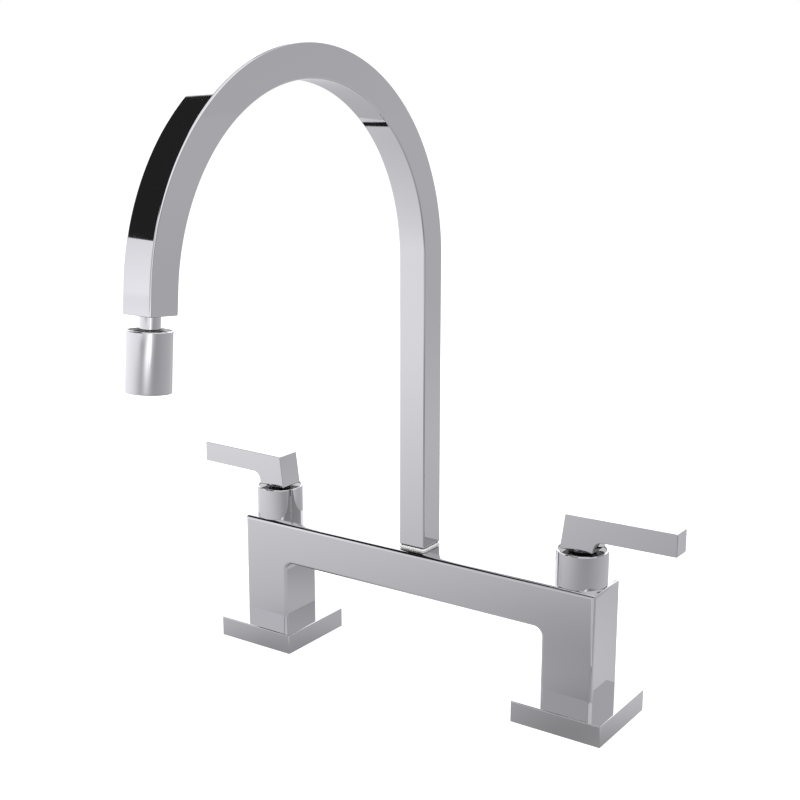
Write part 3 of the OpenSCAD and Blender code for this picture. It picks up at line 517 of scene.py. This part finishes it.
def studio_world():
    """Sets up the walls, the ceiling and the far softboxes, which only the mirrors see. The eye sees white."""
    sky = bpy.data.worlds.new("Studio")
    bpy.context.scene.world = sky
    sky.use_nodes = True
    tree = sky.node_tree
    tree.nodes.clear()
    towards = add(tree, "ShaderNodeTexCoord").outputs["Generated"]
    axes = add(tree, "ShaderNodeSeparateXYZ", None, {0: towards}).outputs
    front = add(tree, "ShaderNodeMath", {"operation": "MULTIPLY"}, {0: axes["Y"], 1: -1.0}).outputs[0]
    around = add(tree, "ShaderNodeMath", {"operation": "ARCTAN2"}, {0: axes["X"], 1: front}).outputs[0]
    share = add(tree, "ShaderNodeMath", {"operation": "MULTIPLY_ADD"}, {
        0: around, 1: 0.5 / math.pi, 2: 0.5}).outputs[0]
    ramp = add(tree, "ShaderNodeValToRGB", None, {0: share})
    stops = ramp.color_ramp.elements
    for azimuth, tone in WALL[1:-1]:
        stops.new(azimuth / 360 + 0.5)
    for stop, (azimuth, tone) in zip(stops, WALL):
        stop.position = azimuth / 360 + 0.5
        stop.color = (tone / 2, tone / 2, tone / 2, 1)
    wall = add(tree, "ShaderNodeMath", {"operation": "MULTIPLY"}, {0: ramp.outputs[0], 1: 2.0}).outputs[0]
    lower = add(tree, "ShaderNodeMapRange", None, {
        "Value": axes["Z"], "From Min": 0.0, "From Max": 0.25, "To Min": 1.0, "To Max": 0.9}).outputs[0]
    wall = add(tree, "ShaderNodeMath", {"operation": "MULTIPLY"}, {0: wall, 1: lower}).outputs[0]
    high = add(tree, "ShaderNodeMapRange", {"interpolation_type": "SMOOTHSTEP"}, {
        "Value": axes["Z"], "From Min": 0.3, "From Max": 0.42, "To Min": 0.0, "To Max": 1.0}).outputs[0]
    behind = add(tree, "ShaderNodeMapRange", {"interpolation_type": "SMOOTHSTEP"}, {
        "Value": axes["Y"], "From Min": 0.4, "From Max": 0.6, "To Min": 1.4, "To Max": 0.95}).outputs[0]
    right = add(tree, "ShaderNodeMapRange", {"interpolation_type": "SMOOTHSTEP"}, {
        "Value": axes["X"], "From Min": -0.1, "From Max": 0.2, "To Min": wall, "To Max": behind}).outputs[0]
    light = add(tree, "ShaderNodeMix", {"data_type": "FLOAT"}, {0: high, 2: wall, 3: right}).outputs[0]
    # The ceiling is black over the front and the left, down to 30 degrees, and ends a little right of overhead
    above = add(tree, "ShaderNodeMapRange", None, {
        "Value": axes["Z"], "From Min": 0.49, "From Max": 0.51, "To Min": 0.0, "To Max": 1.0}).outputs[0]
    left = add(tree, "ShaderNodeMapRange", None, {
        "Value": axes["X"], "From Min": 0.08, "From Max": 0.16, "To Min": 1.0, "To Max": 0.0}).outputs[0]
    black = add(tree, "ShaderNodeMath", {"operation": "MULTIPLY"}, {0: above, 1: left}).outputs[0]
    light = add(tree, "ShaderNodeMix", {"data_type": "FLOAT"}, {0: black, 2: light, 3: BLACK}).outputs[0]
    # A round softbox straight overhead
    overhead = add(tree, "ShaderNodeMapRange", {"interpolation_type": "SMOOTHSTEP"}, {
        "Value": axes["Z"], "From Min": 0.9, "From Max": 0.93, "To Min": 0.0, "To Max": 1.0}).outputs[0]
    light = add(tree, "ShaderNodeMix", {"data_type": "FLOAT"}, {
        0: overhead, 2: light, 3: OVERHEAD}).outputs[0]
    softbox = far_card(tree, towards, -150, 32, 43, 24, 0.01)
    light = add(tree, "ShaderNodeMix", {"data_type": "FLOAT"}, {
        0: softbox, 2: light, 3: SOFTBOX}).outputs[0]
    path = add(tree, "ShaderNodeLightPath")
    shiny = add(tree, "ShaderNodeMath", {"operation": "MAXIMUM"}, {
        0: path.outputs["Is Glossy Ray"], 1: path.outputs["Is Transmission Ray"]})
    plain_light = add(tree, "ShaderNodeMix", {"data_type": "FLOAT"}, {
        0: path.outputs["Is Camera Ray"], 2: 0.8, 3: 1.0})
    total = add(tree, "ShaderNodeMix", {"data_type": "FLOAT"}, {
        0: shiny.outputs[0], 2: plain_light.outputs[0], 3: light})
    tint = add(tree, "ShaderNodeMix", {"data_type": "RGBA"}, {0: shiny.outputs[0], 6: (1, 1, 1, 1), 7: TINT})
    sheet = add(tree, "ShaderNodeBackground", None, {"Color": tint.outputs[2], "Strength": total.outputs[0]})
    add(tree, "ShaderNodeOutputWorld", None, {"Surface": sheet.outputs[0]})


def studio_card(name, corners, brightness, seen_from_below=True):
    """Puts up a card that only the mirrors see: white where it glows, black where it holds light back."""
    mesh = bpy.data.meshes.new(name)
    mesh.from_pydata(corners, [], [(0, 1, 2, 3)])
    piece = bpy.data.objects.new(name, mesh)
    bpy.context.scene.collection.objects.link(piece)
    material, tree = new_finish(name.replace("_", " "))
    glow = add(tree, "ShaderNodeEmission", None, {"Color": TINT, "Strength": brightness})
    if not seen_from_below:
        clear = add(tree, "ShaderNodeBsdfTransparent")
        back = add(tree, "ShaderNodeNewGeometry").outputs["Backfacing"]
        glow = add(tree, "ShaderNodeMixShader", None, {0: back, 1: glow.outputs[0], 2: clear.outputs[0]})
    add(tree, "ShaderNodeOutputMaterial", None, {"Surface": glow.outputs[0]})
    mesh.materials.append(material)
    piece.visible_camera = False
    piece.visible_diffuse = False
    piece.visible_shadow = False


# What the floor gives the mirrors: its middle brightness, how far it rises and falls from there towards the
# front left and away from it, its darkest, and soft pools of light and shade, each with middle, spread and brightness
FLOOR_MIDDLE, FLOOR_RISE, FLOOR_DARKEST = 1.105, 0.436, 0.1
FLOOR_SLOPE = (-0.817, -0.780, 0)
FLOOR_POOLS = (
    ((0.107, -0.021, 0), 0.030, -0.284), ((2.625, -3.199, 0), 1.039, 1.470), ((1.103, -3.141, 0), 1.710, -0.974),
    ((1.349, -7.000, 0), 1.515, -0.717), ((-0.717, 0.761, 0), 0.320, 1.300), ((0.063, 0.086, 0), 0.073, -0.939),
    ((-0.086, -0.018, 0), 0.030, -0.300), ((0.095, -0.027, 0), 0.092, -0.697), ((-0.135, 0.190, 0), 0.201, -0.354),
    ((-0.313, 0.182, 0), 0.092, 0.724), ((0.084, 0.040, 0), 0.089, 1.300), ((0.405, -0.478, 0), 0.344, -0.524),
    ((-4.730, -8.000, 0), 3.994, -0.313))


def studio_floor():
    """Lays a round, pale floor just under the faucet. In the mirrors it glows with painted light and painted shade,
    and is darker near the plates.
    """
    radius, depth, corners = 14.0, 0.1 * MM, 96
    turns = [2 * math.pi * i / corners for i in range(corners)]
    points = [(radius * math.cos(turn), radius * math.sin(turn), -depth) for turn in turns]
    mesh = bpy.data.meshes.new("studio_floor")
    mesh.from_pydata(points, [], [tuple(range(corners))])
    piece = bpy.data.objects.new("studio_floor", mesh)
    bpy.context.scene.collection.objects.link(piece)
    material, tree = new_finish("Pale floor with painted light and shade")
    place = add(tree, "ShaderNodeTexCoord").outputs["Object"]
    along = add(tree, "ShaderNodeVectorMath", {"operation": "DOT_PRODUCT"}, {0: place, 1: FLOOR_SLOPE})
    ramp = add(tree, "ShaderNodeMath", {"operation": "TANH"}, {0: along.outputs["Value"]})
    tone = add(tree, "ShaderNodeMath", {"operation": "MULTIPLY_ADD"}, {
        0: ramp.outputs[0], 1: FLOOR_RISE, 2: FLOOR_MIDDLE}).outputs[0]
    for spot, spread, strength in FLOOR_POOLS:
        gap = add(tree, "ShaderNodeVectorMath", {"operation": "DISTANCE"}, {0: place, 1: spot})
        square = add(tree, "ShaderNodeMath", {"operation": "POWER"}, {0: gap.outputs["Value"], 1: 2.0})
        fall = add(tree, "ShaderNodeMath", {"operation": "MULTIPLY"}, {0: square.outputs[0], 1: -0.5 / spread ** 2})
        pool = add(tree, "ShaderNodeMath", {"operation": "EXPONENT"}, {0: fall.outputs[0]})
        tone = add(tree, "ShaderNodeMath", {"operation": "MULTIPLY_ADD"}, {
            0: pool.outputs[0], 1: strength, 2: tone}).outputs[0]
    tone = add(tree, "ShaderNodeMath", {"operation": "MAXIMUM"}, {0: tone, 1: FLOOR_DARKEST}).outputs[0]
    # Painted light and shade: in the mirrors the floor glows with this tone in place of its own lighting
    shown = add(tree, "ShaderNodeEmission", None, {"Color": TINT, "Strength": tone})
    # The eye sees it nearly white, with half of its shadow kept
    glow = add(tree, "ShaderNodeEmission", None, {"Strength": 0.55})
    matt = add(tree, "ShaderNodeBsdfDiffuse", None, {"Color": linear("F4F4F2")})
    faint = add(tree, "ShaderNodeMixShader", None, {0: 0.5, 1: matt.outputs[0], 2: glow.outputs[0]})
    bright = add(tree, "ShaderNodeAddShader", None, {0: faint.outputs[0], 1: glow.outputs[0]})
    path = add(tree, "ShaderNodeLightPath")
    seen = add(tree, "ShaderNodeMixShader", None, {
        0: path.outputs["Is Camera Ray"], 1: matt.outputs[0], 2: bright.outputs[0]})
    shiny = add(tree, "ShaderNodeMath", {"operation": "MAXIMUM"}, {
        0: path.outputs["Is Glossy Ray"], 1: path.outputs["Is Transmission Ray"]})
    whole = add(tree, "ShaderNodeMixShader", None, {0: shiny.outputs[0], 1: seen.outputs[0], 2: shown.outputs[0]})
    add(tree, "ShaderNodeOutputMaterial", None, {"Surface": whole.outputs[0]})
    mesh.materials.append(material)


def studio_camera():
    """Sets up the camera at the photograph's viewing angle."""
    yaw, pitch, roll = 0.6128251, -0.2348191, -0.0033897
    place = Vector((0.3943017, -0.5974567, 0.3307513))
    # In pixels of the square frame: its width, the lens and the point that the lens looks at
    frame_width, lens, centre_x, centre_y = 800, 1332.394, 381.930, 402.321
    ahead = Vector((-math.sin(yaw) * math.cos(pitch), math.cos(yaw) * math.cos(pitch), math.sin(pitch)))
    right = Vector((math.cos(yaw), math.sin(yaw), 0))
    up = right.cross(ahead)
    across = math.cos(roll) * right + math.sin(roll) * up
    upright = -math.sin(roll) * right + math.cos(roll) * up
    data = bpy.data.cameras.new("Product camera")
    data.sensor_width = 36
    data.lens = lens / frame_width * data.sensor_width
    data.shift_x = 0.5 - centre_x / frame_width
    data.shift_y = centre_y / frame_width - 0.5
    data.clip_start = 0.01
    piece = bpy.data.objects.new("Product camera", data)
    piece.matrix_world = Matrix.Translation(place) @ Matrix((across, upright, -ahead)).transposed().to_4x4()
    bpy.context.scene.collection.objects.link(piece)
    bpy.context.scene.camera = piece


def direction(azimuth, elevation):
    """Points away from the faucet: azimuth 0 is to the front, 90 to the right, in degrees."""
    a, e = math.radians(azimuth), math.radians(elevation)
    return Vector((math.sin(a) * math.cos(e), -math.cos(a) * math.cos(e), math.sin(e)))


def lamp(name, azimuth, elevation, distance, size, power):
    """Hangs a square soft lamp that lights the matt pieces and the floor, and that no mirror shows."""
    data = bpy.data.lights.new(name, "AREA")
    data.shape = "SQUARE"
    data.size = size
    data.energy = power
    piece = bpy.data.objects.new(name, data)
    back = direction(azimuth, elevation)
    piece.location = back * distance + Vector((0, 0, 0.15))
    piece.rotation_euler = back.to_track_quat("Z", "Y").to_euler()
    piece.visible_glossy = False
    piece.visible_camera = False
    bpy.context.scene.collection.objects.link(piece)


# What a user may change

class FaucetFinish(bpy.types.PropertyGroup):
    plate: FloatVectorProperty(
        name="Plate colour", description="Colour of the chromium plate", subtype="COLOR", size=4, min=0, max=1,
        default=linear("C7C7C8"))


class FaucetSpoutSizes(bpy.types.PropertyGroup):
    foot_height: FloatProperty(
        name="Foot height", description="Height of the tube's lower end", unit="LENGTH",
        default=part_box("spout_tube")[0].z)
    arc_height: FloatProperty(
        name="Arc height", description="Height at which the riser turns into the arc", unit="LENGTH",
        default=0.2395)
    arc_radius: FloatProperty(
        name="Arc radius", description="Radius of the arc's middle line", unit="LENGTH", default=0.1018)
    arc_angle: FloatProperty(
        name="Arc angle", description="How far the arc turns", subtype="ANGLE", default=math.radians(174.8))
    tip_length: FloatProperty(
        name="Tip length", description="Straight length after the arc", unit="LENGTH", default=0.0115)
    width: FloatProperty(
        name="Width", description="Width of the square tube", unit="LENGTH", default=0.0166)
    depth: FloatProperty(
        name="Depth", description="Depth of the square tube", unit="LENGTH", default=0.0168)
    edge_radius: FloatProperty(
        name="Edge radius", description="Radius of the tube's long edges", unit="LENGTH", default=0.001)
    wall: FloatProperty(
        name="Wall", description="Thickness of the tube's wall", unit="LENGTH", default=0.0015)
    end_radius: FloatProperty(
        name="End radius", description="Radius of the outer edge at both ends", unit="LENGTH", default=0.0004)
    arc_steps: IntProperty(
        name="Arc steps", description="Faces along the arc", default=144, min=24, max=288)


class FaucetScreenSizes(bpy.types.PropertyGroup):
    radius: FloatProperty(
        name="Radius", description="Radius of the flow screen", unit="LENGTH", default=0.00735)
    thickness: FloatProperty(
        name="Thickness", description="Thickness of the flow screen", unit="LENGTH", default=0.0016)
    hole_radius: FloatProperty(
        name="Hole radius", description="Radius of each hole", unit="LENGTH", default=0.00075)
    ring_spacing: FloatProperty(
        name="Ring spacing", description="Distance from one ring of holes to the next", unit="LENGTH",
        default=0.0020556)


# One operator for each piece or group of like pieces

class FAUCET_OT_studio(bpy.types.Operator):
    """Set up the camera, the floor, the walls and the lamps"""
    bl_idname = "faucet.studio"
    bl_label = "Studio"

    def execute(self, context):
        context.scene.view_settings.view_transform = "Standard"
        studio_camera()
        studio_world()
        studio_floor()
        # A black card that leans over from the front left. It is near, so that the spout's arc mirrors it and
        # the feet of the legs don't
        low, side, up = Vector((-0.4765, -0.6497, 0.4499)), direction(52, 0), Vector((0.434, 0.556, 0.709))
        studio_card("Black_card", [
            low + i * side + j * up for i, j in ((-0.35, 0), (0.06, 0), (0.06, 0.42), (-0.35, 0.42))], BLACK)
        # A strip light that stands on the floor at the front right
        low, side, up = direction(45, 0) * 3.0, direction(135, 0) * 0.26, Vector((0, 0, 1.2))
        studio_card("Strip_light", [low - side, low + side, low + side + up, low - side + up], STRIP)
        # A grey card level with the riser, which the underside of the arc mirrors from above
        studio_card("Grey_card", [
            (-0.06, -0.016, 0.2), (-0.70, 1.05, 0.2), (-0.95, 0.85, 0.2), (-0.13, -0.001, 0.2)], GREY, False)
        lamp("Back left softbox", -150, 40, 1.6, 1.2, 22)
        lamp("Right fill", 70, 50, 1.8, 1.0, 14)
        lamp("Front fill", -20, 35, 1.8, 1.2, 14)
        return {"FINISHED"}


class FAUCET_OT_bridge(bpy.types.Operator):
    """Plate the bridge body and its two base plates"""
    bl_idname = "faucet.bridge"
    bl_label = "Bridge and base plates"

    def execute(self, context):
        polished_copy("bridge_body")
        for side in SIDES:
            polished_copy("base_plate_" + side)
            give_finish("plate_gasket_" + side)
        return {"FINISHED"}


class FAUCET_OT_valves(bpy.types.Operator):
    """Finish the bonnets and the working parts of both valves"""
    bl_idname = "faucet.valves"
    bl_label = "Valves"

    def execute(self, context):
        for side in SIDES:
            for part in ("bonnet", "glide_ring", "headwork", "headwork_washer", "seat_seal", "fixed_disc",
                         "moving_disc", "spindle", "spindle_o_rings", "spindle_clip"):
                give_finish(part + "_" + side)
        return {"FINISHED"}


class FAUCET_OT_levers(bpy.types.Operator):
    """Plate both levers"""
    bl_idname = "faucet.levers"
    bl_label = "Levers"

    def execute(self, context):
        for side in SIDES:
            # All sharp edges but those of the hub and its socket
            axis = JOINT_AT["lever_" + side + "_turn"].xy
            hub_radius, edge_radius = 7.6 * MM, 0.35 * MM
            polished_copy("lever_" + side, (edge_radius, lambda spot: (spot.xy - axis).length > hub_radius))
            give_finish("lever_screw_" + side)
        return {"FINISHED"}


class FAUCET_OT_spout_tube(bpy.types.Operator):
    """Sweep the square spout tube"""
    bl_idname = "faucet.spout_tube"
    bl_label = "Spout tube"

    def execute(self, context):
        sizes = context.scene.faucet_spout
        values = {
            "Foot height": sizes.foot_height, "Arc height": sizes.arc_height, "Arc radius": sizes.arc_radius,
            "Arc angle": sizes.arc_angle, "Tip length": sizes.tip_length, "Width": sizes.width,
            "Depth": sizes.depth, "Edge radius": sizes.edge_radius, "Wall": sizes.wall,
            "End radius": sizes.end_radius, "Arc steps": sizes.arc_steps}
        mesh = run_tree("spout_tube_swept", spout_tree(finish_of("spout_tube")), values)
        shape = bmesh.new()
        shape.from_mesh(mesh)
        ends = [edge for edge in shape.edges if edge.is_boundary]
        middle = sizes.arc_height * 0.5
        foot = [edge for edge in ends if edge.verts[0].co.y > -sizes.arc_radius]
        tip = [edge for edge in ends if edge.verts[0].co.y <= -sizes.arc_radius]
        if not foot or not tip or foot[0].verts[0].co.z > middle:
            raise RuntimeError("the spout tube's ends were not found")
        for rim in (foot, tip):
            close_end(shape, rim)
        bmesh.ops.recalc_face_normals(shape, faces=shape.faces)
        mark_smooth(shape)
        shape.to_mesh(mesh)
        shape.free()
        even_shading(to_piece("spout_tube_swept", mesh, "spout_tube"))
        return {"FINISHED"}


class FAUCET_OT_spout_foot(bpy.types.Operator):
    """Finish the collar, the seam and the tail under the spout"""
    bl_idname = "faucet.spout_foot"
    bl_label = "Spout foot"

    def execute(self, context):
        give_finish("spout_collar", "spout_washer", "spout_screw", "spout_tail", "spout_o_rings")
        return {"FINISHED"}


class FAUCET_OT_outlet(bpy.types.Operator):
    """Finish the outlet's neck, ball and barrel"""
    bl_idname = "faucet.outlet"
    bl_label = "Outlet"

    def execute(self, context):
        give_finish("outlet_bush", "ball_stud", "stud_o_ring", "stud_clip", "outlet_barrel", "ball_retainer",
                    "ball_seat", "aerator_washer", "aerator_housing")
        return {"FINISHED"}


class FAUCET_OT_flow_screen(bpy.types.Operator):
    """Drill the flow screen in the outlet's mouth"""
    bl_idname = "faucet.flow_screen"
    bl_label = "Flow screen"

    def execute(self, context):
        sizes = context.scene.faucet_screen
        tilt = context.scene.faucet_spout.arc_angle
        low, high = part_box("flow_screen")
        values = {
            "Radius": sizes.radius, "Thickness": sizes.thickness, "Hole radius": sizes.hole_radius,
            "Ring spacing": sizes.ring_spacing, "Place": (low + high) / 2, "Tilt": (tilt, 0.0, 0.0)}
        mesh = run_tree("flow_screen_drilled", screen_tree(finish_of("flow_screen")), values)
        shape = bmesh.new()
        shape.from_mesh(mesh)
        mark_smooth(shape)
        shape.to_mesh(mesh)
        shape.free()
        even_shading(to_piece("flow_screen_drilled", mesh, "flow_screen"))
        return {"FINISHED"}


OPERATORS = (FAUCET_OT_studio, FAUCET_OT_bridge, FAUCET_OT_valves, FAUCET_OT_levers, FAUCET_OT_spout_tube,
             FAUCET_OT_spout_foot, FAUCET_OT_outlet, FAUCET_OT_flow_screen)


class FAUCET_PT_pieces(bpy.types.Panel):
    bl_idname = "FAUCET_PT_pieces"
    bl_label = "Bridge faucet"
    bl_space_type = "VIEW_3D"
    bl_region_type = "UI"
    bl_category = "Faucet"

    def draw(self, context):
        for operator in OPERATORS:
            self.layout.operator(operator.bl_idname)
        for group in (context.scene.faucet_finish, context.scene.faucet_spout, context.scene.faucet_screen):
            box = self.layout.box()
            for name in group.__annotations__:
                box.prop(group, name)


CLASSES = (FaucetFinish, FaucetSpoutSizes, FaucetScreenSizes, *OPERATORS, FAUCET_PT_pieces)


def register():
    for kind in CLASSES:
        bpy.utils.register_class(kind)
    bpy.types.Scene.faucet_finish = PointerProperty(type=FaucetFinish)
    bpy.types.Scene.faucet_spout = PointerProperty(type=FaucetSpoutSizes)
    bpy.types.Scene.faucet_screen = PointerProperty(type=FaucetScreenSizes)


def unregister():
    del bpy.types.Scene.faucet_screen
    del bpy.types.Scene.faucet_spout
    del bpy.types.Scene.faucet_finish
    for kind in reversed(CLASSES):
        bpy.utils.unregister_class(kind)


def main():
    register()
    bpy.ops.faucet.studio()
    bpy.ops.faucet.bridge()
    bpy.ops.faucet.valves()
    bpy.ops.faucet.levers()
    bpy.ops.faucet.spout_tube()
    bpy.ops.faucet.spout_foot()
    bpy.ops.faucet.outlet()
    bpy.ops.faucet.flow_screen()


if __name__ == "__main__":
    main()
